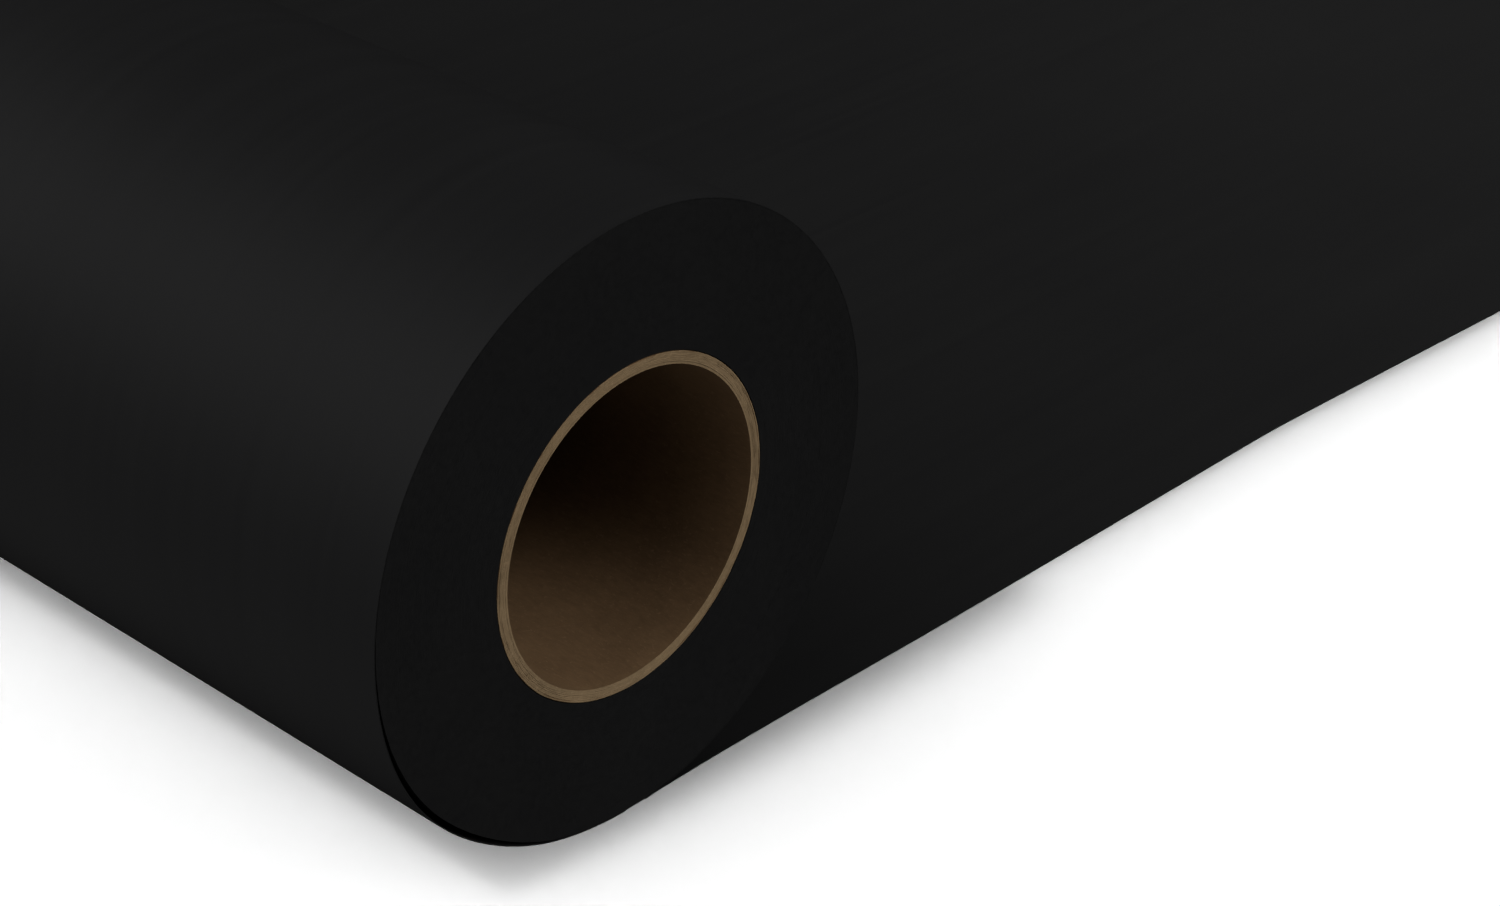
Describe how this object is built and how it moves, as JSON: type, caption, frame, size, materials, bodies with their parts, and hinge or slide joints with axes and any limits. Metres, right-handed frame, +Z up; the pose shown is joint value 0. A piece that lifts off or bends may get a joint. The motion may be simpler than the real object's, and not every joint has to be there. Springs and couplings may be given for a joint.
{
  "type": "roll of sign vinyl",
  "caption": "Roll of black self-adhesive sign vinyl on a cardboard core, lying on its side with a loose outer turn and its web laid out flat.",
  "frame": {"origin": "on the axis of the core's bore, halfway along the core", "axes": "+Y along the core's axis, +X the way the laid web runs out from under the roll, +Z up"},
  "size_m": [0.7254, 0.61, 0.1512],
  "materials": {
    "core_paper": "matte",
    "core_board": "matte",
    "start_tape": "satin",
    "turn_edges": "matte",
    "liner": "satin",
    "adhesive": "gloss",
    "film": "satin"
  },
  "bodies": {
    "laid_web": {"laid_film": "film", "laid_adhesive": "adhesive", "laid_liner": "liner"},
    "outer_turn": {"turn_film": "film", "turn_adhesive": "adhesive", "turn_liner": "liner"},
    "wound_roll": {"wound_turns": "turn_edges", "start_tape": "start_tape", "core_outer_ply": "core_paper", "core_board_plies": "core_board", "core_inner_ply": "core_paper"}
  },
  "joints": [
    {"name": "roll_travel", "type": "slide", "parent": "laid_web", "child": "outer_turn", "axis": [1, 0, 0], "range_m": [0, 0.6]},
    {"name": "roll_spin", "type": "hinge", "parent": "outer_turn", "child": "wound_roll", "pos_m": [0, 0, 0], "axis": [0, 1, 0], "range_deg": [0, 455]}
  ],
  "couplings": [
    {"joint": "roll_spin", "follows": "roll_travel", "rad_per_m": 13.206}
  ]
}
